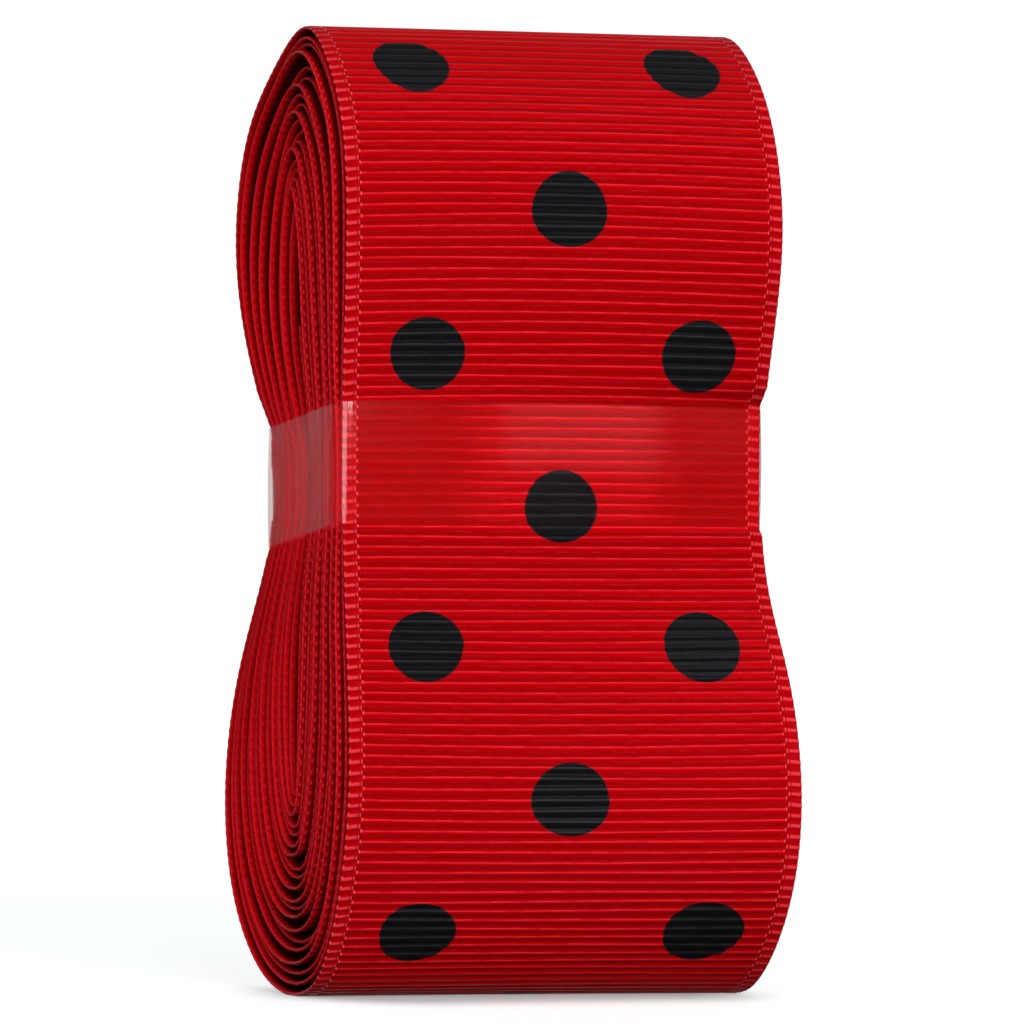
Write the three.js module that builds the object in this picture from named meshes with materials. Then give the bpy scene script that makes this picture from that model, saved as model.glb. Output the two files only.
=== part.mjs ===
// A coil of wide grosgrain ribbon, wound flat, stood on end and held at its waist by a clear band.
// Millimetres, +Z up. The ribbon's width runs along X and the coil's front faces -Y. The origin
// lies on the surface that the coil stands on, below the middle of its box.

import * as THREE from 'three';

// Ribbon
const RIBBON_WIDTH = 38;
const LEFT = -RIBBON_WIDTH / 2;
const RIGHT = RIBBON_WIDTH / 2;

// Outer turn of the coil: a row for each place on the way up the front, over the top and down
// the rear, with its height and its depth at the ribbon's left and right edge. The ribbon lies
// a little askew, so the two edges differ. The first and last rows bound the foot.
const OUTLINE = [
  { height: 0.0, left: -2.0, right: -6.3 },
  { height: 0.9, left: -4.1, right: -8.4 },
  { height: 3.6, left: -7.0, right: -11.7 },
  { height: 9.5, left: -10.2, right: -15.9 },
  { height: 17.5, left: -12.0, right: -17.3 },
  { height: 26.5, left: -11.6, right: -14.6 },
  { height: 34.5, left: -10.7, right: -9.9 },
  { height: 44.0, left: -10.0, right: -7.4 },
  { height: 52.5, left: -10.2, right: -9.9 },
  { height: 62.5, left: -10.7, right: -12.6 },
  { height: 71.5, left: -9.6, right: -10.8 },
  { height: 77.3, left: -5.9, right: -6.3 },
  { height: 80.2, left: -0.4, right: 0.0 },
  { height: 77.0, left: 6.8, right: 5.8 },
  { height: 71.5, left: 13.0, right: 11.2 },
  { height: 62.5, left: 15.6, right: 13.7 },
  { height: 54.0, left: 12.7, right: 12.2 },
  { height: 47.5, left: 7.7, right: 9.0 },
  { height: 42.0, left: 5.3, right: 7.9 },
  { height: 36.5, left: 7.2, right: 8.8 },
  { height: 27.0, left: 14.0, right: 12.4 },
  { height: 16.5, left: 17.3, right: 13.9 },
  { height: 8.0, left: 15.3, right: 11.9 },
  { height: 3.2, left: 11.0, right: 8.6 },
  { height: 0.9, left: 7.9, right: 5.7 },
  { height: 0.0, left: 5.5, right: 3.2 },
];
const COIL_HEIGHT = 80.2;
const STATIONS = 78;

// Innermost turn: a narrow loop round a spine, which dips forward at the left end's waist
const INNER_BOTTOM = 17;
const INNER_TOP = 64;
const INNER_SQUEEZE = 0.06;
const SPINE = {
  left: { depth: 1.6, dip: 3.9 },
  right: { depth: 0, dip: 0 },
};
const SPINE_LEAN = 0.02;
const WAIST_HEIGHT = 43;
const WAIST_REACH = 9;

// Main turns that stand out on the two ends, from the outermost inwards. Each begins at a share
// of the way in and its edge stands back by a setback; a gap of its own depth follows it.
const RIDGES = [
  { from: 0.0, setback: 0.0, gap: 1.3 },
  { from: 0.15, setback: 0.2, gap: 1.8 },
  { from: 0.28, setback: 0.7, gap: 1.6 },
  { from: 0.4, setback: 0.1, gap: 1.5 },
  { from: 0.53, setback: 0.5, gap: 1.9 },
  { from: 0.66, setback: 0.1, gap: 1.6 },
  { from: 0.8, setback: 0.6, gap: 1.4 },
  { from: 0.92, setback: 0.3, gap: 2.2 },
];
const RIDGE_SHARE = 0.55;
const GAP_SHARE = 0.78;

// Clear band round the waist. It stands upright, and its middle is lower towards the rear.
const BAND = {
  width: 9.9,
  thickness: 1,
  corner: 0.5,
  middle: 42.85,
  slope: -0.129,
};

// The four corners of the band's inner face, seen from above
const BAND_CORNERS = [
  { x: -19.4, y: -10.6 },
  { x: 19.4, y: -9.0 },
  { x: 19.4, y: 9.1 },
  { x: -19.4, y: 7.7 },
];
const CORNER_STEPS = 4;

// Depth of the spine at a height, for one end of the coil
function spineDepth(height, end) {
  const { depth, dip } = SPINE[end];
  const fromWaist = (height - WAIST_HEIGHT) / WAIST_REACH;
  const lean = SPINE_LEAN * (height - COIL_HEIGHT / 2);
  return depth + lean - dip * Math.exp(-fromWaist * fromWaist);
}

// The outer turn's edge at one end, as points on a smooth closed line that is flat at the foot
function outerEdge(end, x) {
  const rows = OUTLINE.map((row) => new THREE.Vector3(x, row[end], row.height));
  const line = new THREE.CatmullRomCurve3(rows, true, 'centripetal');
  return Array.from({ length: STATIONS }, (_, i) => {
    const point = line.getPoint(i / STATIONS);
    point.z = Math.max(point.z, 0);
    return point;
  });
}

// The innermost turn's edge, point for point beside the outer one
function innerEdge(outer, end) {
  return outer.map((point) => {
    const height = THREE.MathUtils.mapLinear(point.z, 0, COIL_HEIGHT, INNER_BOTTOM, INNER_TOP);
    const spine = spineDepth(height, end);
    const depth = THREE.MathUtils.lerp(spine, point.y, INNER_SQUEEZE);
    return new THREE.Vector3(point.x, depth, height);
  });
}

// Shares of the way in and setbacks of the rings that shape one end of the coil
function endSections() {
  const sections = [];
  RIDGES.forEach((ridge, i) => {
    const next = i + 1 < RIDGES.length ? RIDGES[i + 1].from : 1;
    const pitch = next - ridge.from;
    sections.push({ share: ridge.from, setback: ridge.setback });
    sections.push({ share: ridge.from + pitch * RIDGE_SHARE, setback: ridge.setback });
    sections.push({ share: ridge.from + pitch * GAP_SHARE, setback: ridge.gap });
  });
  return sections;
}

// Rings of one end of the coil, from the outer turn to the innermost
function endRings(end, x) {
  const outer = outerEdge(end, x);
  const inner = innerEdge(outer, end);
  return endSections().map(({ share, setback }) => outer.map((point, i) => {
    const place = point.clone().lerp(inner[i], share);
    place.x -= Math.sign(x) * setback;
    return place;
  }));
}

// A closed body through a row of rings of equally many points, with a flat cap at each end
function loft(rings) {
  const count = rings[0].length;
  const positions = rings.flat().flatMap((point) => point.toArray());
  const faces = [];
  for (let r = 0; r + 1 < rings.length; r += 1) {
    for (let i = 0; i < count; i += 1) {
      const next = (i + 1) % count;
      const a = r * count + i;
      const b = r * count + next;
      const c = a + count;
      const d = b + count;
      faces.push(a, c, b, b, c, d);
    }
  }
  const cap = (first, turned) => {
    for (let i = 0; i < count / 2 - 1; i += 1) {
      const across = count - 1 - i;
      for (const corners of [[i, i + 1, across], [i + 1, across - 1, across]]) {
        faces.push(...(turned ? corners.reverse() : corners).map((corner) => first + corner));
      }
    }
  };
  cap(0, false);
  cap((rings.length - 1) * count, true);
  const geometry = new THREE.BufferGeometry();
  geometry.setAttribute('position', new THREE.Float32BufferAttribute(positions, 3));
  geometry.setIndex(faces);
  geometry.computeVertexNormals();
  return geometry;
}

// The coil: the left end from its middle out, across the outer turn, and back in at the right
function ribbonCoil() {
  const left = endRings('left', LEFT).reverse();
  const right = endRings('right', RIGHT);
  const material = new THREE.MeshStandardMaterial({ color: 0xc40016, roughness: 0.62, metalness: 0 });
  const mesh = new THREE.Mesh(loft([...left, ...right]), material);
  mesh.name = 'ribbon_coil';
  return mesh;
}

// A closed outline through the corners, each moved out and rounded
function roundedOutline(Outline, outward) {
  const outline = new Outline();
  const radius = BAND.corner + outward;
  const turns = BAND_CORNERS.length;
  for (let i = 0; i < turns; i += 1) {
    const corner = BAND_CORNERS[i];
    const centre = new THREE.Vector2(
      corner.x - Math.sign(corner.x) * BAND.corner,
      corner.y - Math.sign(corner.y) * BAND.corner,
    );
    const start = Math.PI + (i * Math.PI) / 2;
    outline.absarc(centre.x, centre.y, radius, start, start + Math.PI / 2, false);
  }
  outline.closePath();
  return outline;
}

// The band: a ring with rounded corners, sheared to follow the waist
function clearBand() {
  const shape = roundedOutline(THREE.Shape, BAND.thickness);
  shape.holes.push(roundedOutline(THREE.Path, 0));
  const geometry = new THREE.ExtrudeGeometry(shape, {
    depth: BAND.width,
    bevelEnabled: false,
    curveSegments: CORNER_STEPS,
  });
  geometry.translate(0, 0, BAND.middle - BAND.width / 2);
  geometry.applyMatrix4(new THREE.Matrix4().makeShear(0, 0, 0, BAND.slope, 0, 0));
  const material = new THREE.MeshStandardMaterial({
    color: 0xf2e6e6,
    roughness: 0.12,
    metalness: 0,
    transparent: true,
    opacity: 0.35,
  });
  const mesh = new THREE.Mesh(geometry, material);
  mesh.name = 'band';
  return mesh;
}

const coil = new THREE.Group();
coil.add(ribbonCoil(), clearBand());

export default coil;
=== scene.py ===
# A flat-wound coil of wide grosgrain ribbon, held at its waist by a clear film band.
# Sizes are in millimetres and become metres where a mesh is made.

import math

import bpy
import numpy as np
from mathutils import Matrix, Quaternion, Vector


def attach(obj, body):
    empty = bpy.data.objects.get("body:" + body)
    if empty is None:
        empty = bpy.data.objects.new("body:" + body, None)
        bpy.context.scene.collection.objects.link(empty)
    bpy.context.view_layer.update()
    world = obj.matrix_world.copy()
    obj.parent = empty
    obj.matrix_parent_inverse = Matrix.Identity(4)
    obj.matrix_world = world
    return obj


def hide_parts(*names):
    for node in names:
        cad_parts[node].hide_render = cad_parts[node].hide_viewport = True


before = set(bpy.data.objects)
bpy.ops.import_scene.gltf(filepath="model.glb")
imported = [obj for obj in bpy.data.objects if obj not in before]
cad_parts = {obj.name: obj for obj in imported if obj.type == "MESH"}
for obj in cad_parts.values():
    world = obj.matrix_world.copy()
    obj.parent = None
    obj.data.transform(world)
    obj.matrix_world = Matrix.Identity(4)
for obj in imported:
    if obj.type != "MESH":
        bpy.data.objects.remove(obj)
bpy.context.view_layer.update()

MM = 0.001
TAU = 2 * math.pi

# Ribbon
WIDTH = 38.0
HALF_WIDTH = WIDTH / 2
THICKNESS = 0.34
RIBS_PER_DOT_ROW = 14
DOT_ROW = 12.395
RIB_PITCH = DOT_ROW / RIBS_PER_DOT_ROW
SELVEDGE = 1.25

# Dots: the height on the front at which one lies in the middle, and the columns of the print
DOT_HEIGHT = 40.8
DOT_MIDDLE = 0.30
DOT_SIDE = 12.05
DOT_HALF_WIDTH = 3.3
DOT_HALF_LENGTH = 3.08

# How far each row of dots on the front, from the lowest up, lies from its even place
PRINT_DRIFT = [
    {"along": 0.38, "across": 0.52},
    {"along": -0.45, "across": -0.35},
    {"along": 0.42, "across": -0.04},
    {"along": -0.36, "across": 0.17},
    {"along": 0.25, "across": 0.39},
    {"along": -0.35, "across": 0.13},
    {"along": 0.98, "across": 0.40},
]

# Ribs bow a little across the ribbon and waver along it
BOW = {"mean": 0.08, "swing": 0.27, "wave": 85.0}
WAVERS = [
    {"size": 0.030, "wave": 4.7, "across": 43.0, "from": 0.3},
    {"size": 0.030, "wave": 3.1, "across": -61.0, "from": 1.9},
    {"size": 0.025, "wave": 7.9, "across": 37.0, "from": 4.1},
    {"size": 0.015, "wave": 2.3, "across": -23.0, "from": 2.7},
]

# Short bars along the selvedge, one for each rib, in ribs
BAR_PHASE = 0.05
BAR_REACH = 0.30
BAR_SLANT = 0.13

# Ribbon section from its edge inwards: "outer" is the depth of the outer face as a share of the
# thickness, and "bead" how far the edge swells in and out with the bars
MID_LEVEL = 0.5
EDGE_ROUND = [
    {"x": 19.0, "outer": MID_LEVEL, "bead": 0.03},
    {"x": 18.93, "outer": 0.2, "bead": 0.02},
    {"x": 18.75, "outer": 0.0, "bead": 0.0},
]
OUTER_RELIEF = 0.11
INNER_RELIEF = 0.04

# How closely a piece's mesh follows the weave: the places of the section's further corners, and
# the steps along each rib
FINE_MESH = {"places": [18.3, 17.85, 17.72, 17.45, 15.0, 12.0, 9.0, 6.0, 3.0], "per_rib": 8}
PLAIN_MESH = {"places": [17.75, 12.0, 6.0], "per_rib": 4}

# Film band: the corners of its inner face, in order round the coil from the rear left
FILM_CORNERS = [
    {"x": -19.2, "y": 7.3},
    {"x": -19.45, "y": -10.45},
    {"x": 19.3, "y": -8.35},
    {"x": 19.3, "y": 9.0},
]
FILM_CORNER_RADIUS = 1.5
FILM_MIDDLE = 42.85
FILM_SLOPE = -0.129
FILM_HALF_WIDTH = 4.95
FILM_THICKNESS = 0.05
FILM_GAP = 0.25
FILM_LAP_FROM = 5.2
FILM_LAP_TO = -6.4
FILM_LAP_LIFT = 0.08
FILM_LIFT_PLACE = {"from": 0.5, "over": 0.35}
FILM_BULGE = {"front": 0.95, "up": 0.10}
FILM_CORNER_STEPS = 8
FILM_STEP = 0.6
FILM_LEVELS = 9
FILM_SHARP_ANGLE = 40

# Outer turn: height, and depth at the ribbon's left and right edge, up the front, over the top
# and down the rear. The first and last rows bound the foot.
OUTLINE = [
    {"height": 0.0, "left": 0.2, "right": -4.2},
    {"height": 0.8, "left": -3.4, "right": -7.7},
    {"height": 3.6, "left": -7.0, "right": -11.7},
    {"height": 9.5, "left": -10.2, "right": -15.9},
    {"height": 17.5, "left": -12.0, "right": -17.3},
    {"height": 26.5, "left": -11.6, "right": -14.6},
    {"height": 34.5, "left": -10.7, "right": -9.9},
    {"height": 44.0, "left": -10.0, "right": -8.5},
    {"height": 52.5, "left": -10.2, "right": -10.2},
    {"height": 62.5, "left": -10.7, "right": -12.6},
    {"height": 71.5, "left": -9.6, "right": -10.8},
    {"height": 77.3, "left": -5.9, "right": -6.3},
    {"height": 80.2, "left": -0.4, "right": 0.0},
    {"height": 77.0, "left": 6.8, "right": 5.8},
    {"height": 71.5, "left": 13.0, "right": 11.2},
    {"height": 62.5, "left": 15.6, "right": 13.7},
    {"height": 54.0, "left": 13.2, "right": 12.2},
    {"height": 47.5, "left": 8.9, "right": 9.0},
    {"height": 42.0, "left": 6.5, "right": 7.9},
    {"height": 36.5, "left": 7.6, "right": 8.8},
    {"height": 27.0, "left": 14.0, "right": 12.4},
    {"height": 16.5, "left": 17.3, "right": 13.9},
    {"height": 8.0, "left": 15.3, "right": 11.9},
    {"height": 3.2, "left": 11.0, "right": 8.6},
    {"height": 0.8, "left": 6.4, "right": 4.2},
    {"height": 0.0, "left": 2.6, "right": 0.4},
]
COIL_HEIGHT = 80.2
WAIST_HEIGHT = 43.0
WAIST_REACH = 9.0
WAIST_FADE = 1.6 * WAIST_REACH
OUTLINE_STEPS = 960
SPLINE_STEPS = 60

# Innermost turn: a narrow loop round a spine
INNER_BOTTOM = 17.0
INNER_TOP = 64.0
INNER_HALF_WIDTH = 0.85
OUTER_HALF_WIDTH = 14.0
SPINE = {
    "left": {"depth": 1.6, "dip": 3.9},
    "right": {"depth": 0.0, "dip": 0.0},
}
SPINE_LEAN = 0.02
WAIST_PINCH = 0.4
LOOP_LEAN = {"top": 0.9, "reach": 0.13}

# Places round the coil, as fractions of the way from the front waist up and over, and how far
# each reaches
TOP_FRACTION = 0.2
TURN_PLACES = {
    "top": [(TOP_FRACTION, 0.11)],
    "bottom": [(0.755, 0.14)],
    "rear": [(0.36, 0.16), (0.62, 0.14)],
    "front": [(0.07, 0.13), (0.93, 0.15)],
}

# Turns from the outermost inwards: how far the ribbon is shifted to the left as it passes over
# the top, and the room before the next turn at each of those places, as shares of the turns'
# mean spacing
TURNS = [
    {"shift": 0.00, "top": 0.95, "rear": 1.70, "bottom": 1.00, "front": 1.90},
    {"shift": -0.10, "top": 0.65, "rear": 0.50, "bottom": 1.00, "front": 0.66},
    {"shift": -0.30, "top": 0.75, "rear": 0.50, "bottom": 1.00, "front": 1.15},
    {"shift": 0.40, "top": 1.50, "rear": 2.20, "bottom": 1.20, "front": 0.66},
    {"shift": -0.50, "top": 1.05, "rear": 0.50, "bottom": 0.80, "front": 0.70},
    {"shift": -0.55, "top": 0.65, "rear": 0.50, "bottom": 1.10, "front": 1.25},
    {"shift": 0.35, "top": 0.95, "rear": 2.00, "bottom": 1.30, "front": 0.66},
    {"shift": -0.05, "top": 0.95, "rear": 0.50, "bottom": 0.80, "front": 0.70},
    {"shift": -0.25, "top": 0.70, "rear": 0.50, "bottom": 0.70, "front": 1.25},
    {"shift": 0.35, "top": 0.85, "rear": 1.90, "bottom": 1.20, "front": 0.66},
    {"shift": -0.10, "top": 1.05, "rear": 0.50, "bottom": 1.10, "front": 0.90},
    {"shift": -0.50, "top": 1.05, "rear": 0.50, "bottom": 0.80, "front": 1.35},
    {"shift": -0.15, "top": 0.65, "rear": 0.70, "bottom": 1.40, "front": 0.70},
    {"shift": 0.35, "top": 1.20, "rear": 1.90, "bottom": 0.80, "front": 0.90},
    {"shift": -0.05, "top": 0.85, "rear": 0.50, "bottom": 1.10, "front": 1.30},
    {"shift": -0.15, "top": 0.95, "rear": 0.50, "bottom": 0.80, "front": 0.80},
    {"shift": 0.00, "top": 0.95, "rear": 0.70, "bottom": 1.20, "front": 1.00},
    {"shift": 0.30, "top": 1.45, "rear": 1.40, "bottom": 0.90, "front": 0.90},
    {"shift": -0.25, "top": 1.65, "rear": 1.00, "bottom": 1.00, "front": 1.20},
    {"shift": 0.00, "top": 0.50, "rear": 0.60, "bottom": 0.60, "front": 0.66},
]
TURN_COUNT = len(TURNS)
INNER_END_TURNS = 19.64
START_FRACTION = 0.476
END_BLEND = 2.0
STEP_SHARE = 0.14
LEAST_WEIGHT = 1e-6
SHIFT_KEPT_AT_WAIST = 0.25
FRONT_TURNS = 0.6
LENGTH_STEP = 0.0005
NORMAL_STEP = 0.003

# Camera, found from the coil's outline in the photograph
CAMERA_AT = (-299.7, -740.65, 40.64)
CAMERA_YAW = math.radians(22.03)
CAMERA_PITCH = math.radians(-0.035)
CAMERA_ROLL = math.radians(0.378)
CAMERA_LENS = 337.0
CAMERA_CLIP = (0.01, 20.0)
SENSOR = 36.0


# Shares of a way

def ease(share):
    """A share from 0 to 1, slow at both ends and held beyond them."""
    return 0.5 - 0.5 * np.cos(math.pi * np.clip(share, 0, 1))


def hump(share):
    """0 at both ends of a way and 1 in its middle."""
    return 4 * share * (1 - share)


def blend(first, second, share):
    return first * (1 - share) + second * share


# Outline of one end of the coil

def closed_spline(points, spans, steps):
    """A smooth closed line through points that are the given spans apart."""
    count = len(points)
    before = np.roll(spans, 1)
    system = np.zeros((count, count))
    for i in range(count):
        system[i, i - 1] += before[i]
        system[i, i] += 2 * (before[i] + spans[i])
        system[i, (i + 1) % count] += spans[i]
    slopes = (np.roll(points, -1, axis=0) - points) / spans[:, None]
    bends = np.linalg.solve(system, 6 * (slopes - np.roll(slopes, 1, axis=0)))
    line = []
    for i in range(count):
        span = spans[i]
        after = (i + 1) % count
        for t in np.linspace(0, span, steps, endpoint=False):
            rest = span - t
            curve = (bends[i] * rest ** 3 + bends[after] * t ** 3) / (6 * span)
            start = (points[i] / span - bends[i] * span / 6) * rest
            end = (points[after] / span - bends[after] * span / 6) * t
            line.append(curve + start + end)
    return np.array(line)


def arc_lengths(line):
    """How far each point lies along a line of points."""
    return np.concatenate([[0], np.cumsum(np.linalg.norm(np.diff(line, axis=0), axis=1))])


def from_film_middle(line):
    """How far each (depth, height) point lies above or below the film's middle."""
    return np.abs(line[:, 1] - FILM_MIDDLE - FILM_SLOPE * line[:, 0])


def held_by_film(line, end):
    """Depths of a line, kept just inside the film where it passes under it."""
    corners = [corner["y"] for corner in FILM_CORNERS if (corner["x"] < 0) == (end == "left")]
    slack = np.maximum(from_film_middle(line) - FILM_HALF_WIDTH, 0) - FILM_GAP
    return np.clip(line[:, 0], min(corners) - slack, max(corners) + slack)


def outer_edges():
    """The outer turn's two edges as (depth, height) points, level with each other all the way.

    They start at the front waist, go up, and are evenly spaced along the middle of the ribbon.
    """
    rows = {end: np.array([[row[end], row["height"]] for row in OUTLINE]) for end in SPINE}
    middle = (rows["left"] + rows["right"]) / 2
    spans = np.sqrt(np.linalg.norm(np.roll(middle, -1, axis=0) - middle, axis=1))
    lines = {}
    for end, points in rows.items():
        line = closed_spline(points, spans, SPLINE_STEPS)
        line[:, 1] = np.maximum(line[:, 1], 0)
        line[:, 0] = held_by_film(line, end)
        lines[end] = line
    middle = (lines["left"] + lines["right"]) / 2
    front = np.abs(middle[:, 1] - WAIST_HEIGHT) + np.where(middle[:, 0] < 0, 0, COIL_HEIGHT)
    order = np.roll(np.arange(len(middle)), -np.argmin(front))
    order = np.append(order, order[0])
    along = arc_lengths(middle[order])
    even = np.linspace(0, along[-1], OUTLINE_STEPS + 1)
    return {
        end: np.column_stack([np.interp(even, along, line[order, axis]) for axis in (0, 1)])
        for end, line in lines.items()
    }


def inner_edge(outer, end):
    """The innermost turn's edge, point for point beside the outer one."""
    spine = SPINE[end]
    height = INNER_BOTTOM + outer[:, 1] / COIL_HEIGHT * (INNER_TOP - INNER_BOTTOM)
    from_waist = (height - WAIST_HEIGHT) / WAIST_REACH
    lean = SPINE_LEAN * (height - COIL_HEIGHT / 2)
    middle = spine["depth"] + lean - spine["dip"] * np.exp(-from_waist ** 2)
    across = (outer[:, 0] - middle) / OUTER_HALF_WIDTH
    pinch = 1 - WAIST_PINCH * np.exp(-from_waist ** 2)
    width = INNER_HALF_WIDTH * np.sqrt(np.abs(across)) * pinch
    return np.column_stack([middle + np.sign(across) * width, height])


# Where the turns lie

def around(centre, reach):
    """A smooth weight that is 1 at a fraction of the way round and fades over a reach."""
    fraction = np.linspace(0, 1, OUTLINE_STEPS + 1)
    away = np.abs((fraction - centre + 0.5) % 1 - 0.5)
    return ease(1 - away / reach)


def waist_weight(outer):
    """1 where the band squeezes the turns, fading to 0 in the loops."""
    return ease(1 - np.abs(outer[:, 1] - WAIST_HEIGHT) / WAIST_FADE)


def turn_shares(outer):
    """For each turn, its share of the way in from the outer turn at each place round the coil."""
    waist = waist_weight(outer)
    places = {
        name: np.maximum.reduce([around(*place) for place in parts])
        for name, parts in TURN_PLACES.items()
    }
    total = sum(places.values()) + LEAST_WEIGHT
    rooms = []
    for turn in TURNS:
        room = sum(weight * turn[name] for name, weight in places.items()) / total
        rooms.append(room * (1 - waist) + waist)
    shares = np.vstack([np.zeros(OUTLINE_STEPS + 1), np.cumsum(rooms, axis=0)])
    return shares / shares[-1]


class CoilEnd:
    """One end of the coil: where the ribbon's edge lies after a number of turns."""

    def __init__(self, end, outer):
        self.outer = outer
        self.inner = inner_edge(self.outer, end)
        self.shares = turn_shares(self.outer)
        self.waist = waist_weight(self.outer)
        lean = LOOP_LEAN["top"] * around(TOP_FRACTION, LOOP_LEAN["reach"])
        self.lean = np.column_stack([lean, np.zeros(OUTLINE_STEPS + 1)])

    def at(self, turns):
        """(depth, height) of the ribbon's outer face."""
        fraction = (turns + START_FRACTION) % 1
        step = fraction * OUTLINE_STEPS
        low = np.minimum(step.astype(int), OUTLINE_STEPS - 1)
        rest = step - low
        ring = np.minimum(turns.astype(int), TURN_COUNT - 1)
        between = np.clip((turns - ring - 1) / STEP_SHARE + 1, 0, 1)
        between = between ** 2 * (3 - 2 * between)

        def sample(table):
            return table[low] * (1 - rest)[:, None] + table[low + 1] * rest[:, None]

        def share(index):
            return self.shares[index, low] * (1 - rest) + self.shares[index, low + 1] * rest

        inwards = (share(ring) * (1 - between) + share(ring + 1) * between)[:, None]
        place = blend(sample(self.outer), sample(self.inner), inwards)
        return place + sample(self.lean) * hump(inwards)

    def normal(self, turns):
        """Unit normal of the ribbon's outer face, as (depth, height)."""
        tangent = self.at(turns + NORMAL_STEP) - self.at(turns - NORMAL_STEP)
        tangent /= np.linalg.norm(tangent, axis=1)[:, None]
        return np.column_stack([-tangent[:, 1], tangent[:, 0]])

    def squeeze(self, turns):
        """How far the band squeezes the turns there, from 0 to 1."""
        fraction = (turns + START_FRACTION) % 1
        return np.interp(fraction * OUTLINE_STEPS, np.arange(OUTLINE_STEPS + 1), self.waist)


LEFT_END, RIGHT_END = [CoilEnd(end, outer) for end, outer in outer_edges().items()]


def side_shift(turns):
    """How far the ribbon has drifted to the left after a number of turns."""
    peaks = np.arange(TURN_COUNT) + (TOP_FRACTION - START_FRACTION) % 1
    position = np.clip(turns - peaks[0], 0, TURN_COUNT - 1)
    low = np.minimum(position.astype(int), TURN_COUNT - 2)
    shifts = np.array([turn["shift"] for turn in TURNS])
    shift = blend(shifts[low], shifts[low + 1], ease(position - low))
    return shift * blend(1, SHIFT_KEPT_AT_WAIST, LEFT_END.squeeze(turns))


def middle_line(turns):
    """Turns made, (depth, height) and length so far along the middle of the ribbon."""
    fine = np.arange(0, turns, LENGTH_STEP)
    line = blend(LEFT_END.at(fine), RIGHT_END.at(fine), 0.5)
    return fine, line, arc_lengths(line)


def length_at_front(height):
    """The ribbon's length where its outer turn climbs past a height on the front."""
    _, line, along = middle_line(FRONT_TURNS)
    climbing = (line[:, 0] < 0) & (np.gradient(line[:, 1]) > 0)
    return float(np.interp(height, line[climbing, 1], along[climbing]))


DOT_START = length_at_front(DOT_HEIGHT)


def drift(length, name):
    """How far the print has drifted along or across the ribbon."""
    side_rows = len(PRINT_DRIFT) // 2
    rows = DOT_START + DOT_ROW * np.arange(-side_rows - 1, side_rows + 2)
    return np.interp(length, rows, [0, *[row[name] for row in PRINT_DRIFT], 0])


# Meshes

def tube_faces(stations, count):
    """Faces of a closed tube of evenly numbered sections, with its two end caps."""
    station, corner = np.meshgrid(np.arange(stations - 1), np.arange(count), indexing="ij")
    following = (corner + 1) % count
    quads = np.stack([
        station * count + corner,
        station * count + following,
        (station + 1) * count + following,
        (station + 1) * count + corner,
    ], axis=-1).reshape(-1, 4)
    start = list(range(count))[::-1]
    end = [(stations - 1) * count + i for i in range(count)]
    return [*quads.tolist(), start, end]


def make_mesh(name, vertices, faces, layers=None, marks=None):
    """A smooth-shaded object in metres from vertices in millimetres."""
    mesh = bpy.data.meshes.new(name)
    mesh.from_pydata((np.asarray(vertices) * MM).tolist(), [], faces)
    corners = np.empty(len(mesh.loops), dtype=np.int32)
    mesh.loops.foreach_get("vertex_index", corners)
    for layer_name, places in (layers or {}).items():
        layer = mesh.uv_layers.new(name=layer_name)
        layer.data.foreach_set("uv", np.asarray(places, dtype=np.float32)[corners].ravel())
    for mark_name, values in (marks or {}).items():
        mark = mesh.attributes.new(mark_name, "FLOAT", "POINT")
        mark.data.foreach_set("value", np.asarray(values, dtype=np.float32))
    mesh.polygons.foreach_set("use_smooth", [True] * len(mesh.polygons))
    mesh.update()
    piece = bpy.data.objects.new(name, mesh)
    bpy.context.collection.objects.link(piece)
    return piece


# Ribbon mesh

def rib_waver(length, x):
    """How far a rib lies from its even place, along the ribbon."""
    turn = TAU * (length - DOT_START) / BOW["wave"]
    waver = (BOW["mean"] + BOW["swing"] * np.sin(turn)) * (1 - (x / HALF_WIDTH) ** 2)
    for row in WAVERS:
        turn = TAU * (length / row["wave"] + x / row["across"]) + row["from"]
        waver = waver + row["size"] * np.sin(turn)
    return waver


def rib_crest(phase):
    """Height of a rounded rib over its pitch, from 0 in the groove to 1 on the crest."""
    return 0.5 - 0.5 * np.cos(TAU * phase)


def selvedge_bar(phase, from_body):
    """Height of the short bars of the selvedge, from 0 to 1, at a distance from the ribs' ends."""
    away = (phase - BAR_PHASE + BAR_SLANT * from_body / SELVEDGE + 0.5) % 1 - 0.5
    return np.sqrt(np.clip(1 - (away / BAR_REACH) ** 2, 0, 1))


def face_depth(column, phase):
    """How far a place of the section lies under the ribbon's outermost surface."""
    from_body = abs(column["x"]) - (HALF_WIDTH - SELVEDGE)
    crest = selvedge_bar(phase, from_body) if from_body > 0 else rib_crest(phase)
    inwards = 1 if column["level"] < MID_LEVEL else -1
    return THICKNESS * column["level"] + inwards * column["relief"] * (1 - crest)


def ribbon_section(places):
    """Corners of the section in order: the outer face from left to right, then the inner face."""
    outer = []
    inner = []
    for row in EDGE_ROUND:
        flat = row["outer"] == 0
        outer.append({"x": row["x"], "level": row["outer"], "bead": row["bead"],
                      "relief": OUTER_RELIEF if flat else 0})
        if row["outer"] < MID_LEVEL:
            inner.append({"x": row["x"], "level": 1 - row["outer"], "bead": row["bead"],
                          "relief": INNER_RELIEF if flat else 0})
    for x in places:
        outer.append({"x": x, "level": 0.0, "bead": 0, "relief": OUTER_RELIEF})
        inner.append({"x": x, "level": 1.0, "bead": 0, "relief": INNER_RELIEF})
    left_outer = [{**column, "x": -column["x"]} for column in outer]
    left_inner = [{**column, "x": -column["x"]} for column in inner]
    return left_outer + outer[::-1] + inner + left_inner[::-1]


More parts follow.
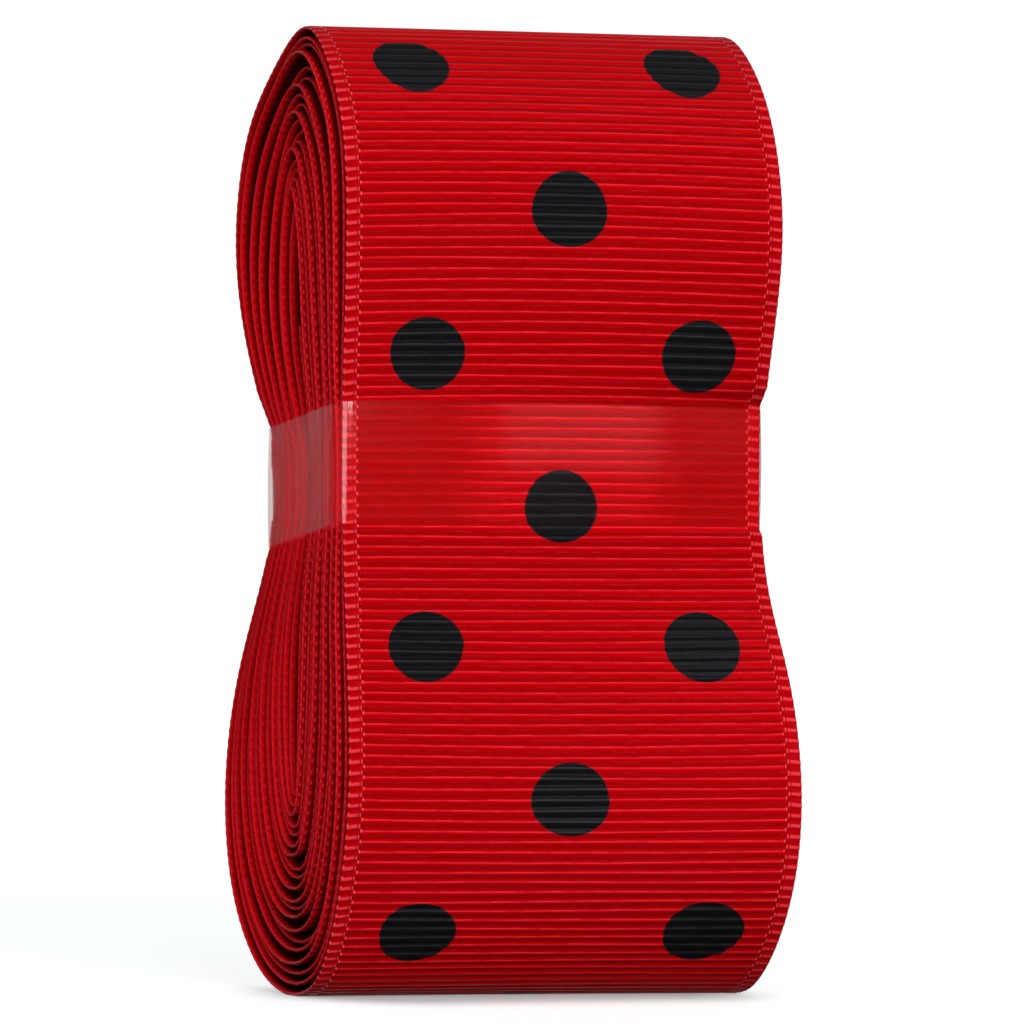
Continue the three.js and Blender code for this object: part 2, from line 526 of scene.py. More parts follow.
def ribbon_column(column, length, coil_length, coil_turns):
    """Places and marks of one corner of the section, all along a length of ribbon."""
    x = column["x"]
    phase = length / RIB_PITCH
    true_length = np.clip(length + rib_waver(length, x), coil_length[0], coil_length[-1])
    turns = np.interp(true_length, coil_length, coil_turns)
    share = ((x + HALF_WIDTH) / WIDTH) ** END_BLEND
    place = blend(LEFT_END.at(turns), RIGHT_END.at(turns), share)
    normal = blend(LEFT_END.normal(turns), RIGHT_END.normal(turns), share)
    place = place - normal * face_depth(column, phase)[:, None]
    bead = column["bead"] * (selvedge_bar(phase, SELVEDGE) - 0.5)
    across = x + np.sign(x) * bead - side_shift(turns)
    print_x = x - drift(true_length, "across")
    print_length = true_length - drift(true_length, "along")
    return {
        "place": np.column_stack([across, place]),
        "weave": np.column_stack([np.full(len(length), x), length]),
        "print": np.column_stack([print_x, print_length]),
        "back": np.full(len(length), column["level"]),
        # How upright the face stands, which sets the strength of the painted highlights
        "upright": np.abs(normal[:, 0]),
        "covered": (from_film_middle(place) < FILM_HALF_WIDTH).astype(float),
    }


def ribbon_piece(name, turn_from, turn_to, mesh):
    """A closed length of ribbon between two numbers of turns, with its ribs in relief."""
    coil_turns, _, coil_length = middle_line(INNER_END_TURNS)
    per_rib = mesh["per_rib"]
    ends = np.interp([turn_from, turn_to], coil_turns, coil_length) / RIB_PITCH * per_rib
    length = np.arange(round(ends[0]), round(ends[1]) + 1) * RIB_PITCH / per_rib
    section = ribbon_section(mesh["places"])
    columns = [ribbon_column(column, length, coil_length, coil_turns) for column in section]
    whole = {key: np.stack([column[key] for column in columns], axis=1) for key in columns[0]}
    layers = {key: whole[key].reshape(-1, 2) for key in ("weave", "print")}
    marks = {key: whole[key].ravel() for key in ("back", "upright", "covered")}
    marks["inside"] = np.full(len(length) * len(section), float(turn_from > 0))
    faces = tube_faces(len(length), len(section))
    piece = make_mesh(name, whole["place"].reshape(-1, 3), faces, layers, marks)
    return piece, float(length[-1] - length[0])


# Film mesh

def film_path():
    """Evenly spaced places of the film's inner face, once round the coil and over its own lap."""
    corners = [Vector((corner["x"], corner["y"])) for corner in FILM_CORNERS]
    rear_left, front_left, front_right, rear_right = range(len(corners))
    path = [Vector((corners[rear_left].x, FILM_LAP_FROM))]
    for i in (front_left, front_right, rear_right, rear_left):
        before = (corners[i - 1] - corners[i]).normalized()
        after = (corners[(i + 1) % len(corners)] - corners[i]).normalized()
        start = corners[i] + before * FILM_CORNER_RADIUS
        end = corners[i] + after * FILM_CORNER_RADIUS
        run = (start - path[-1]).length
        steps = max(round(run / FILM_STEP), 1)
        origin = path[-1].copy()
        outwards = Vector((-before.y, before.x))
        for step in range(1, steps):
            t = step / steps
            bulge = FILM_BULGE["front"] * hump(t) if i == front_right else 0
            path.append(origin.lerp(start, t) + outwards * bulge)
        for step in range(FILM_CORNER_STEPS + 1):
            t = step / FILM_CORNER_STEPS
            path.append(start * (1 - t) ** 2 + corners[i] * 2 * t * (1 - t) + end * t ** 2)
    steps = round((path[-1].y - FILM_LAP_TO) / FILM_STEP)
    origin = path[-1].copy()
    for step in range(1, steps + 1):
        path.append(origin.lerp(Vector((corners[rear_left].x, FILM_LAP_TO)), step / steps))
    return np.array(path)


def film_mesh():
    """A thin closed strip round the waist, its end lapped over its start on the left end."""
    path = film_path()
    along = arc_lengths(path)
    tangent = np.gradient(path, axis=0)
    tangent /= np.linalg.norm(tangent, axis=1)[:, None]
    outwards = np.column_stack([tangent[:, 1], -tangent[:, 0]])
    done = along / along[-1]
    lift = (done - FILM_LIFT_PLACE["from"]) / FILM_LIFT_PLACE["over"]
    lift = FILM_LAP_LIFT * np.clip(lift, 0, 1)
    levels = np.linspace(-1, 1, FILM_LEVELS)
    sides = [(level, 0.0) for level in levels]
    sides += [(level, FILM_THICKNESS) for level in levels[::-1]]
    rows = []
    weave = []
    for level, thickness in sides:
        bulge = FILM_BULGE["up"] * (1 - level ** 2)
        place = path + outwards * (lift + thickness + bulge)[:, None]
        height = FILM_MIDDLE + FILM_SLOPE * path[:, 1] + FILM_HALF_WIDTH * level
        rows.append(np.column_stack([place, height]))
        weave.append(np.column_stack([along, np.full(len(along), FILM_HALF_WIDTH * level)]))
    vertices = np.stack(rows, axis=1).reshape(-1, 3)
    layers = {"weave": np.stack(weave, axis=1).reshape(-1, 2)}
    return make_mesh("film_band", vertices, tube_faces(len(path), len(sides)), layers)


# Materials

# The sockets for colours on a mix node
MIX_FIRST = 6
MIX_SECOND = 7
MIX_RESULT = 2


class Graph:
    """Short names for the nodes of one node tree."""

    def __init__(self, tree):
        self.nodes = tree.nodes
        self.links = tree.links

    def feed(self, socket, value):
        if isinstance(value, bpy.types.NodeSocket):
            self.links.new(value, socket)
        else:
            socket.default_value = value

    def math(self, operation, first, second=0.0, third=0.0):
        node = self.nodes.new("ShaderNodeMath")
        node.operation = operation
        for socket, value in zip(node.inputs, (first, second, third)):
            self.feed(socket, value)
        return node.outputs[0]

    def add(self, first, second):
        return self.math("ADD", first, second)

    def times(self, first, second):
        return self.math("MULTIPLY", first, second)

    def mix(self, factor, first, second):
        node = self.nodes.new("ShaderNodeMix")
        node.data_type = "RGBA"
        self.feed(node.inputs["Factor"], factor)
        self.feed(node.inputs[MIX_FIRST], first)
        self.feed(node.inputs[MIX_SECOND], second)
        return node.outputs[MIX_RESULT]

    def rise(self, value, low, high):
        """0 below low, 1 above high, smooth between."""
        node = self.nodes.new("ShaderNodeMapRange")
        node.interpolation_type = "SMOOTHSTEP"
        self.feed(node.inputs["Value"], value)
        self.feed(node.inputs["From Min"], low)
        self.feed(node.inputs["From Max"], high)
        return node.outputs[0]

    def range(self, value, low, high):
        """A value from 0 to 1 spread between low and high."""
        return self.math("MULTIPLY_ADD", value, high - low, low)

    def fade(self, value, limits, shares):
        """From the first share below the lower limit to the second one above the upper limit."""
        return self.range(self.rise(value, *limits), *shares)

    def length(self, *sides):
        """Length of the diagonal over two sides."""
        return self.math("SQRT", self.add(*[self.times(side, side) for side in sides]))

    def spot(self, value, middle, inside, outside):
        """1 within a distance of the middle, 0 further out."""
        away = self.math("ABSOLUTE", self.add(value, -middle))
        return self.math("SUBTRACT", 1.0, self.rise(away, inside, outside))

    def pulse(self, phase, middle, inside, outside):
        """As spot, for a value that repeats at every whole number."""
        return self.spot(self.math("FRACT", self.add(phase, 0.5 - middle)), 0.5, inside, outside)

    def noise(self, x, y, detail=2.0):
        """Noise from 0 to 1 with features about one unit wide."""
        place = self.nodes.new("ShaderNodeCombineXYZ")
        self.feed(place.inputs[0], x)
        self.feed(place.inputs[1], y)
        node = self.nodes.new("ShaderNodeTexNoise")
        self.links.new(place.outputs[0], node.inputs["Vector"])
        node.inputs["Scale"].default_value = 1.0
        node.inputs["Detail"].default_value = detail
        return node.outputs[0]

    def split(self, vector):
        node = self.nodes.new("ShaderNodeSeparateXYZ")
        self.links.new(vector, node.inputs[0])
        return node.outputs


class MaterialGraph(Graph):
    """The nodes of one material, round its Principled shader."""

    def __init__(self, name):
        self.material = bpy.data.materials.new(name)
        self.material.use_nodes = True
        super().__init__(self.material.node_tree)
        self.shader = self.nodes["Principled BSDF"]

    def set(self, name, value):
        self.feed(self.shader.inputs[name], value)

    def uv(self, layer):
        node = self.nodes.new("ShaderNodeUVMap")
        node.uv_map = layer
        return self.split(node.outputs[0])[:2]

    def mark(self, name):
        node = self.nodes.new("ShaderNodeAttribute")
        node.attribute_name = name
        return node.outputs["Fac"]

    def bump(self, height_mm):
        node = self.nodes.new("ShaderNodeBump")
        node.inputs["Distance"].default_value = MM
        self.feed(node.inputs["Height"], height_mm)
        self.links.new(node.outputs[0], self.shader.inputs["Normal"])


# Ribbon material

BODY_RED = (0.74, 0.0004, 0.005, 1)
# Painted shade, on the ribs below their highlight lines and under the film
SHADED_RED = (0.40, 0.0, 0.0010, 1)
# Specks of the warp threads, brightened as painted glints
SPECK_GLINT_RED = (0.80, 0.04, 0.05, 1)
# Painted highlight, the bright line on each rib
HIGHLIGHT_RED = (1.0, 0.028, 0.045, 1)
# Selvedge bars, their pink partly a painted sheen
BAR_SHEEN_RED = (1.0, 0.045, 0.065, 1)
BAR_GAP_RED = (0.52, 0.0002, 0.003, 1)
# Beads along the edge, painted bright as glints
BEAD_GLINT_RED = (1.0, 0.090, 0.115, 1)
# Rope beads of the inner turns' edges, painted bright as glints; also the painted brighter edges
# under the film
ROPE_GLINT_RED = (1.0, 0.030, 0.045, 1)
# Painted shade, deep between the turns
GAP_SHADE_RED = (0.07, 0.0, 0.0004, 1)
# The dots' black ink, lighter out of the ribs' painted shade and darker in it, with painted grey
# glints
DOT_INK_LIT = (0.010, 0.010, 0.011, 1)
DOT_INK_SHADED = (0.002, 0.002, 0.003, 1)
DOT_GLINT = (0.045, 0.045, 0.048, 1)
RED_GLOSS = (1.0, 0.05, 0.08, 1)
GREY_GLOSS = (0.5, 0.5, 0.55, 1)
RIBBON_SPECULAR = 0.25
RIBBON_ROUGHNESS = (0.30, 0.55)
WARP_PITCH = 0.22

# Heights of the fine relief, in millimetres
BUMPS = {"rib": 0.05, "bar": 0.05, "bead": 0.03, "thread": 0.010}

# Noise, by how many of its features pass in a millimetre or from rib to rib: the ribs' sway in
# pitches, patches of gloss and of the painted highlights, and the dots' ragged ends in millimetres
SWAY = {"across": 0.45, "along": 0.9, "detail": 3.0, "reach": 0.05}
PATCHES = {"across": 0.5, "rib": 0.73}
RAGGED = {"rib": 1.7, "at": 3.0, "detail": 0.0, "reach": 0.06}

# Marks that repeat with the ribs, in pitches: full inside of the middle, gone outside. The line is
# a painted highlight; the specks and beads are marks of the threads, painted bright as glints
HIGHLIGHT_LINE = {"middle": 0.62, "inside": 0.03, "outside": 0.10}
SPECK = {"middle": 0.17, "inside": 0.03, "outside": 0.09}
BAR = {"middle": BAR_PHASE, "inside": 0.10, "outside": 0.22}
BAR_BEAD = {"middle": BAR_PHASE - 0.02, "inside": 0.12, "outside": 0.24}
RIB_BEAD = {"middle": HIGHLIGHT_LINE["middle"], "inside": 0.08, "outside": 0.20}
RIM_BEAD = {"middle": BAR_PHASE, "inside": 0.10, "outside": 0.26}
ROPE_OUTER_BEAD = {"middle": 0.15, "inside": 0.12, "outside": 0.26}
ROPE_INNER_BEAD = {"middle": 0.65, "inside": 0.12, "outside": 0.26}

# The same across the ribbon, in millimetres from the ribs' ends or from the ribbon's middle
BAR_BEAD_ROW = {"middle": 0.18, "inside": 0.03, "outside": 0.09}
RIB_BEAD_ROW = {"middle": -0.02, "inside": 0.04, "outside": 0.09}
ROPE_INNER_ROW = {"middle": 18.68, "inside": 0.06, "outside": 0.13}
GLARE = {"middle": 1.0, "inside": 5.0, "outside": 12.0}

# Fades across the ribbon, from nothing to full, also in millimetres
SELVEDGE_FROM_BODY = (-0.04, 0.04)
BARS_FROM_BODY = (0.30, 0.38)
RIM_EDGE = (18.86, 18.92)
ROPE_OUTER_EDGE = (18.82, 18.90)
RIM_HIGHLIGHT_EDGE = (18.80, 18.95)
EDGE_LIGHT_UNDER_FILM = (18.5, 18.8)
GAP_SHADE_EDGE = (18.82, 18.15)

# Other fades, and the shares that they spread over
BACK_FROM = 0.55
DOT_FADE = (0.98, 1.02)
SHADE_BELOW_HIGHLIGHT = (0.0, 0.75)
SPECK_THREADS = (0.5, 0.9)
# The painted highlights strengthen as the face stands upright
HIGHLIGHT_BY_UPRIGHT = {"limits": (0.45, 0.92), "shares": (0.08, 1.0)}
HIGHLIGHT_PATCHES = {"limits": (0.35, 0.60), "shares": (0.45, 1.0)}
SPECK_PATCHES = {"limits": (0.4, 0.6), "shares": (0.6, 0.1)}

# Strengths of the painted shade, painted highlights and bars on inner faces and on the outer face
SHADE_ON = (0.3, 1.0)
LIT_ON = (0.15, 1.0)
BARS_ON = (0.1, 1.0)

# Strengths elsewhere: between the threads and on them, where the painted highlights are faint and
# full, on the outer and the inner face of an inner turn, and off the film and under it
HIGHLIGHT_ON_THREADS = (0.65, 1.0)
BARS_WHERE_LIT = (0.3, 1.0)
ROPE_ON = (0.8, 0.3)
LIT_UNDER_FILM = (1.0, 0.5)
GAP_SHADE_UNDER_FILM = (1.0, 0.3)
# Painted shade under the film and how far it darkens there, the painted brighter edges of the
# inner turns there, the edges' painted highlight line and the dots' painted glints
FILM_SHADE = 0.5
FILM_SHADE_MIX = 0.6
EDGE_LIGHT_UNDER_FILM_SHARE = 0.7
RIM_HIGHLIGHT_SHARE = 0.4
DOT_GLINT_SHARE = 0.6


class RibbonGraph(MaterialGraph):
    """The ribbon's nodes, with the places and faces that its patterns share."""

    def __init__(self):
        super().__init__("grosgrain")
        self.x, length = self.uv("weave")
        self.edge = self.math("ABSOLUTE", self.x)

        # Ribs, and patches that change from rib to rib
        across = self.times(self.x, SWAY["across"])
        sway = self.noise(across, self.times(length, SWAY["along"]), SWAY["detail"])
        sway = self.range(sway, -SWAY["reach"], SWAY["reach"])
        ribs = self.add(self.times(length, 1 / RIB_PITCH), sway)
        self.rib = self.math("FLOOR", ribs)
        self.phase = self.math("FRACT", ribs)
        across = self.times(self.x, PATCHES["across"])
        self.patch = self.noise(across, self.times(self.rib, PATCHES["rib"]))

        # Warp threads, half a thread over on every other rib
        shift = self.times(self.math("MODULO", self.rib, 2.0), math.pi)
        threads = self.math("SINE", self.add(self.times(self.x, TAU / WARP_PITCH), shift))
        self.threads = self.range(threads, 0.5, 1.0)

        # The ribbon's two faces, and the coil's outer face against all others
        self.back = self.math("GREATER_THAN", self.mark("back"), BACK_FROM)
        self.front = self.math("SUBTRACT", 1.0, self.back)
        self.inside = self.math("MAXIMUM", self.mark("inside"), self.back)
        self.outside = self.math("SUBTRACT", 1.0, self.inside)

        # Painted shade: under the film the outer face is painted darker, but for a painted glare
        # left bright in its middle
        self.covered = self.mark("covered")
        no_glare = self.range(self.spot(self.x, **GLARE), 1.0, 0.0)
        self.under_film_shade = self.times(self.times(self.covered, self.outside), no_glare)

        # Painted light: how bright the painted highlights are, most where the face stands upright,
        # less on inner faces and under the film
        lit = self.fade(self.mark("upright"), **HIGHLIGHT_BY_UPRIGHT)
        lit = self.times(lit, self.range(self.outside, *LIT_ON))
        self.lit = self.times(lit, self.range(self.under_film_shade, *LIT_UNDER_FILM))

    def repeated(self, mark):
        """A mark that repeats with the ribs."""
        return self.pulse(self.phase, **mark)


def dot_distance(graph, x, row, column, parity):
    """Distance from the nearest dot of a column, in dots' half sizes."""
    half = graph.times(graph.add(row, -parity), 0.5)
    away = graph.add(graph.math("FRACT", graph.add(half, 0.5)), -0.5)
    up = graph.times(away, 2 * DOT_ROW / DOT_HALF_LENGTH)
    across = graph.times(graph.add(x, -column), 1 / DOT_HALF_WIDTH)
    return graph.length(up, across)


def ribbed_cloth(graph):
    """The ribs: a painted highlight line on each, painted shade darkening below it to a row of
    specks.

    Gives their colour, and the painted shade and painted highlights that also show in the dots.
    """
    below_line = graph.math("FRACT", graph.math("SUBTRACT", HIGHLIGHT_LINE["middle"], graph.phase))
    # Painted shade: each rib darkens below its highlight line, less on inner faces
    shade = graph.rise(below_line, *SHADE_BELOW_HIGHLIGHT)
    shade = graph.times(shade, graph.range(graph.outside, *SHADE_ON))
    # Painted shade under the film, away from its painted glare
    shade = graph.math("MAXIMUM", shade, graph.times(graph.under_film_shade, FILM_SHADE))
    cloth = graph.mix(shade, BODY_RED, SHADED_RED)
    # Painted highlight: a bright line on each rib's upper flank, as if lit from above, patchy and
    # stronger on the threads
    line = graph.times(graph.repeated(HIGHLIGHT_LINE), graph.fade(graph.patch, **HIGHLIGHT_PATCHES))
    line = graph.times(graph.times(line, graph.lit), graph.range(graph.threads, *HIGHLIGHT_ON_THREADS))
    cloth = graph.mix(line, cloth, HIGHLIGHT_RED)
    # Specks of the warp threads, brightened as painted glints where the painted highlights are
    # strong
    speck = graph.times(graph.repeated(SPECK), graph.rise(graph.threads, *SPECK_THREADS))
    speck = graph.times(graph.times(speck, graph.fade(graph.patch, **SPECK_PATCHES)), graph.lit)
    cloth = graph.mix(speck, cloth, SPECK_GLINT_RED)
    # Painted shade: the outer face is darker under the film, away from its painted glare
    cloth = graph.mix(graph.times(graph.under_film_shade, FILM_SHADE_MIX), cloth, SHADED_RED)
    return cloth, shade, graph.math("MAXIMUM", speck, line)


def add_selvedge(graph, cloth):
    """Bars on the outer face, their pink partly a painted sheen, with a bead at the inner end of
    each bar and of each rib.

    Gives the colour, the bars and the beads.
    """
    from_body = graph.add(graph.edge, SELVEDGE - HALF_WIDTH)
    selvedge = graph.times(graph.rise(from_body, *SELVEDGE_FROM_BODY), graph.front)
    bar_place = graph.add(graph.phase, graph.times(from_body, BAR_SLANT / SELVEDGE))
    bar = graph.times(graph.pulse(bar_place, **BAR), graph.rise(from_body, *BARS_FROM_BODY))
    bar = graph.times(bar, graph.range(graph.outside, *BARS_ON))
    # The bars' painted sheen is stronger where the painted highlights are
    bar = graph.times(bar, graph.range(graph.lit, *BARS_WHERE_LIT))
    cloth = graph.mix(selvedge, cloth, graph.mix(bar, BAR_GAP_RED, BAR_SHEEN_RED))
    bar_bead = graph.times(graph.repeated(BAR_BEAD), graph.spot(from_body, **BAR_BEAD_ROW))
    rib_bead = graph.times(graph.repeated(RIB_BEAD), graph.spot(from_body, **RIB_BEAD_ROW))
    beads = graph.times(graph.math("MAXIMUM", bar_bead, rib_bead), graph.outside)
    return cloth, graph.times(bar, selvedge), beads


def add_edge(graph, cloth, face_beads):
    """Along the very edge, beads of the weave painted bright as glints: one row outside, a rope of
    two rows on the turns within, with a painted highlight line along it.

    Gives the colour and all the beads.
    """
    rim = graph.times(graph.repeated(RIM_BEAD), graph.rise(graph.edge, *RIM_EDGE))
    rim = graph.math("MAXIMUM", face_beads, graph.times(rim, graph.outside))
    # Beads of the edge's weave, painted bright as glints
    cloth = graph.mix(rim, cloth, BEAD_GLINT_RED)
    outer_row = graph.rise(graph.edge, *ROPE_OUTER_EDGE)
    outer_row = graph.times(graph.repeated(ROPE_OUTER_BEAD), outer_row)
    inner_row = graph.spot(graph.edge, **ROPE_INNER_ROW)
    inner_row = graph.times(graph.repeated(ROPE_INNER_BEAD), inner_row)
    # Rope beads on the turns within, painted bright as glints
    rope = graph.times(graph.math("MAXIMUM", outer_row, inner_row), graph.inside)
    rope = graph.times(rope, graph.range(graph.back, *ROPE_ON))
    # Painted highlight: a bright line along the edge of the turns within
    rim_highlight = graph.times(graph.rise(graph.edge, *RIM_HIGHLIGHT_EDGE), graph.inside)
    rope = graph.math("MAXIMUM", rope, graph.times(rim_highlight, RIM_HIGHLIGHT_SHARE))
    cloth = graph.mix(rope, cloth, ROPE_GLINT_RED)
    return cloth, graph.math("MAXIMUM", rim, rope)


def add_gap_shade(graph, cloth):
    """Painted shade: the turns within darken towards the depth of the coil, where shade falls
    between them; under the film less so, and there their edges are painted brighter.
    """
    # Painted highlight: the inner turns' edges are painted brighter under the film
    edge_light = graph.times(graph.rise(graph.edge, *EDGE_LIGHT_UNDER_FILM), graph.inside)
    edge_light = graph.times(edge_light, graph.covered)
    cloth = graph.mix(graph.times(edge_light, EDGE_LIGHT_UNDER_FILM_SHARE), cloth, ROPE_GLINT_RED)
    # Painted shade: the turns within darken deeper into the coil, less under the film
    depth = graph.times(graph.rise(graph.edge, *GAP_SHADE_EDGE), graph.inside)
    depth = graph.times(depth, graph.range(graph.covered, *GAP_SHADE_UNDER_FILM))
    return graph.mix(depth, cloth, GAP_SHADE_RED)


def dot_print(graph):
    """1 in the dots, which are on the outer face."""
    x, length = graph.uv("print")
    row = graph.times(graph.add(length, -DOT_START), 1 / DOT_ROW)
    ragged = graph.noise(graph.times(graph.rib, RAGGED["rib"]), RAGGED["at"], RAGGED["detail"])
    x = graph.add(x, graph.range(ragged, -RAGGED["reach"], RAGGED["reach"]))
    nearest = graph.math("MINIMUM",
                         dot_distance(graph, x, row, DOT_MIDDLE, 0.0),
                         dot_distance(graph, graph.math("ABSOLUTE", x), row, DOT_SIDE, 1.0))
    dot = graph.math("SUBTRACT", 1.0, graph.rise(nearest, *DOT_FADE))
    return graph.times(dot, graph.front)


def ribbon_material():
    graph = RibbonGraph()
    cloth, shade, painted_highlights = ribbed_cloth(graph)
    cloth, bars, face_beads = add_selvedge(graph, cloth)
    cloth, beads = add_edge(graph, cloth, face_beads)
    cloth = add_gap_shade(graph, cloth)
    dot = dot_print(graph)
    # The dots' ink takes the ribs' painted shade and painted grey glints on their highlights
    ink = graph.mix(shade, DOT_INK_LIT, DOT_INK_SHADED)
    ink = graph.mix(graph.times(painted_highlights, DOT_GLINT_SHARE), ink, DOT_GLINT)
    graph.set("Base Color", graph.mix(dot, cloth, ink))
    graph.set("Specular IOR Level", RIBBON_SPECULAR)
    graph.set("Specular Tint", graph.mix(dot, RED_GLOSS, GREY_GLOSS))
    graph.set("Roughness", graph.range(graph.patch, *RIBBON_ROUGHNESS))
    crest = graph.range(graph.math("COSINE", graph.times(graph.phase, TAU)), 0.5, 0.0)
    relief = graph.add(graph.times(crest, BUMPS["rib"]), graph.times(bars, BUMPS["bar"]))
    relief = graph.add(relief, graph.times(beads, BUMPS["bead"]))
    graph.bump(graph.add(relief, graph.times(graph.threads, BUMPS["thread"])))
    return graph.material


# Film and floor materials

FILM_TINT = (0.98, 0.86, 0.86, 1)
FILM_ROUGHNESS = (0.06, 0.12)
FILM_IOR = 1.5
FILM_HAZE = {"along": 0.25, "up": 0.4, "detail": 3.0, "bump": 0.01}

# The floor glows more with distance, and less in a painted contact shadow at the coil's foot. The
# painted shadow is measured from a line below the coil, and reaches further forwards and back than
# sideways.
FLOOR_COLOR = (0.65, 0.76, 0.76, 1)
FLOOR_ROUGHNESS = 0.7
FLOOR_GLOW = (0.69, 1.0)
FLOOR_FADE = (100.0, 900.0)
FOOT_PAINTED_SHADOW = {"half_length": 11.0, "from": 4.0, "to": 13.0, "depth": 0.66, "forward": 0.6}


def film_material():
    graph = MaterialGraph("clear_film")
    along, up = graph.uv("weave")
    along = graph.times(along, FILM_HAZE["along"])
    haze = graph.noise(along, graph.times(up, FILM_HAZE["up"]), FILM_HAZE["detail"])
    graph.set("Base Color", FILM_TINT)
    graph.set("Roughness", graph.range(haze, *FILM_ROUGHNESS))
    graph.set("IOR", FILM_IOR)
    graph.set("Transmission Weight", 1.0)
    graph.bump(graph.times(haze, FILM_HAZE["bump"]))
    return graph.material


def floor_material():
    graph = MaterialGraph("floor_white")
    x, y = graph.uv("floor")
    glow = graph.fade(graph.length(x, y), FLOOR_FADE, FLOOR_GLOW)
    # Painted contact shadow: the glow dims near a line below the coil's foot
    past_end = graph.add(graph.math("ABSOLUTE", x), -FOOT_PAINTED_SHADOW["half_length"])
    past_end = graph.math("MAXIMUM", past_end, 0.0)
    from_foot = graph.length(past_end, graph.times(y, FOOT_PAINTED_SHADOW["forward"]))
    limits = (FOOT_PAINTED_SHADOW["from"], FOOT_PAINTED_SHADOW["to"])
    shade = graph.fade(from_foot, limits, (1 - FOOT_PAINTED_SHADOW["depth"], 1.0))
    graph.set("Base Color", FLOOR_COLOR)
    graph.set("Roughness", FLOOR_ROUGHNESS)
    graph.set("Emission Color", (1.0, 1.0, 1.0, 1))
    graph.set("Emission Strength", graph.times(glow, shade))
    return graph.material


# Scene

FLOOR_HALF_SIZE = 4000.0
RIBBON_PIECES = [
    {"name": "ribbon_outer_turn", "from": 0.0, "to": 1.12, "mesh": FINE_MESH},
    {"name": "ribbon_turns_2_6", "from": 1.12, "to": 6.3, "mesh": PLAIN_MESH},
    {"name": "ribbon_turns_7_12", "from": 6.3, "to": 12.3, "mesh": PLAIN_MESH},
    {"name": "ribbon_turns_13_20", "from": 12.3, "to": INNER_END_TURNS, "mesh": PLAIN_MESH},
]


def add_ribbon():
    material = ribbon_material()
    for row in RIBBON_PIECES:
        piece, length = ribbon_piece(row["name"], row["from"], row["to"], row["mesh"])
        piece.data.materials.append(material)
        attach(piece, "root")
        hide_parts("ribbon_coil")
        print(row["name"], round(length), "mm", len(piece.data.polygons) * 2, "triangles")


def add_film():
    film = film_mesh()
    film.data.set_sharp_from_angle(angle=math.radians(FILM_SHARP_ANGLE))
    film.data.materials.append(film_material())
    film.visible_shadow = False
    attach(film, "root")
    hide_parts("band")


def add_floor():
    size = FLOOR_HALF_SIZE
    corners = [(-size, -size, 0), (size, -size, 0), (size, size, 0), (-size, size, 0)]
    layers = {"floor": [corner[:2] for corner in corners]}
    floor = make_mesh("floor", corners, [[0, 1, 2, 3]], layers)
    floor.data.materials.append(floor_material())
    floor.visible_diffuse = False
    floor.visible_glossy = False
    floor.visible_transmission = False


def add_camera():
    data = bpy.data.cameras.new("camera")
    data.sensor_width = SENSOR
    data.lens = CAMERA_LENS
    data.clip_start, data.clip_end = CAMERA_CLIP
    camera = bpy.data.objects.new("camera", data)
    bpy.context.collection.objects.link(camera)
    camera.location = Vector(CAMERA_AT) * MM
    forward = Vector((
        math.sin(CAMERA_YAW) * math.cos(CAMERA_PITCH),
        math.cos(CAMERA_YAW) * math.cos(CAMERA_PITCH),
        math.sin(CAMERA_PITCH),
    ))
    camera.rotation_mode = "QUATERNION"
    facing = forward.to_track_quat("-Z", "Y")
    camera.rotation_quaternion = facing @ Quaternion((0, 0, 1), CAMERA_ROLL)
    bpy.context.scene.camera = camera


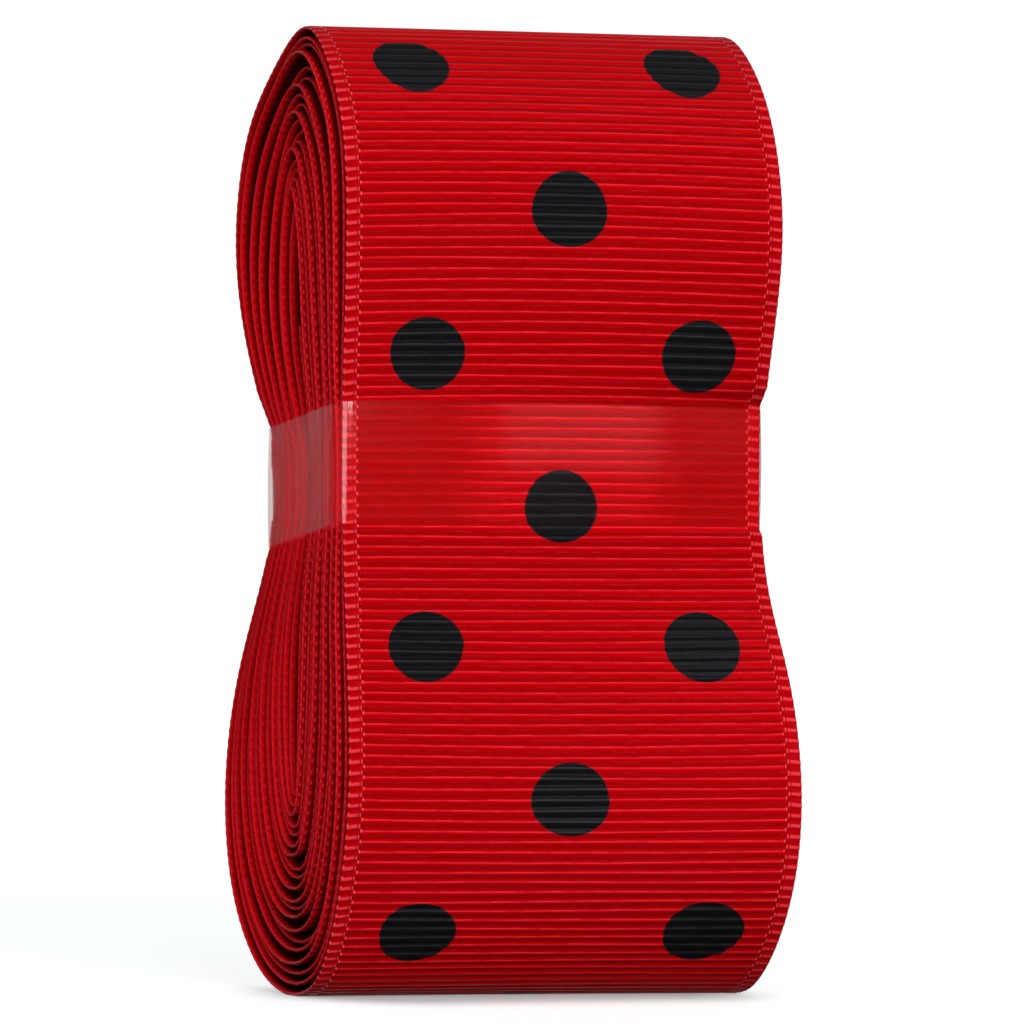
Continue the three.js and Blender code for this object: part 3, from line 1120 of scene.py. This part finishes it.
# Lights, in metres, all turned to the coil's middle; "glow" is how bright their faces are
LIGHT_TARGET = (0, 0, 0.04)
LIGHTS = [
    {"name": "side_key", "at": (-0.67, -0.74, 0.06), "size": (0.6, 0.5), "glow": 4.4},
    {"name": "front_key", "at": (-0.10, -0.98, 0.32), "size": (0.5, 0.4), "glow": 9.2},
    {"name": "overhead", "at": (-0.05, -0.62, 0.80), "size": (0.35, 0.22), "glow": 0.8},
    {"name": "front_panel", "at": (0.46, -0.80, 0.13), "size": (0.18, 0.18), "glow": 0.3},
]

# Surroundings: how bright they are below, level with the coil and above, and over which heights
# of the view's direction that changes; and a backdrop behind the coil
WORLD_GLOW = {"below": 0.08, "level": 0.015, "above": 0.31}
BELOW_FADE = (-0.3, 0.0)
ABOVE_FADE = (0.05, 0.9)
BACKDROP_GLOW = 1.05
BACKDROP_REACH = (math.cos(math.radians(45)), math.cos(math.radians(7)))


def add_light(row):
    data = bpy.data.lights.new(row["name"], "AREA")
    data.shape = "RECTANGLE"
    data.size, data.size_y = row["size"]
    data.energy = row["glow"] * math.pi * data.size * data.size_y
    light = bpy.data.objects.new(row["name"], data)
    bpy.context.collection.objects.link(light)
    light.visible_transmission = False
    light.location = row["at"]
    light.rotation_mode = "QUATERNION"
    facing = Vector(LIGHT_TARGET) - Vector(row["at"])
    light.rotation_quaternion = facing.to_track_quat("-Z", "Y")


def add_world():
    """Soft grey surroundings with a white backdrop behind the coil, all white to the camera."""
    world = bpy.data.worlds.new("studio")
    world.use_nodes = True
    graph = Graph(world.node_tree)
    x, y, height = graph.split(graph.nodes.new("ShaderNodeTexCoord").outputs["Generated"])
    low = graph.fade(height, BELOW_FADE, (WORLD_GLOW["below"], WORLD_GLOW["level"]))
    high = graph.fade(height, ABOVE_FADE, (0.0, WORLD_GLOW["above"] - WORLD_GLOW["level"]))
    facing = graph.add(graph.times(x, math.sin(CAMERA_YAW)), graph.times(y, math.cos(CAMERA_YAW)))
    backdrop = graph.fade(facing, BACKDROP_REACH, (0.0, BACKDROP_GLOW))
    glow = graph.add(graph.add(low, high), backdrop)
    seen = graph.nodes.new("ShaderNodeLightPath").outputs["Is Camera Ray"]
    background = graph.nodes["Background"]
    background.inputs["Color"].default_value = (1, 1, 1, 1)
    graph.feed(background.inputs["Strength"], graph.math("MAXIMUM", glow, seen))
    bpy.context.scene.world = world


add_camera()
add_ribbon()
add_film()
add_floor()
add_world()
for light_row in LIGHTS:
    add_light(light_row)
bpy.context.scene.view_settings.view_transform = "Standard"
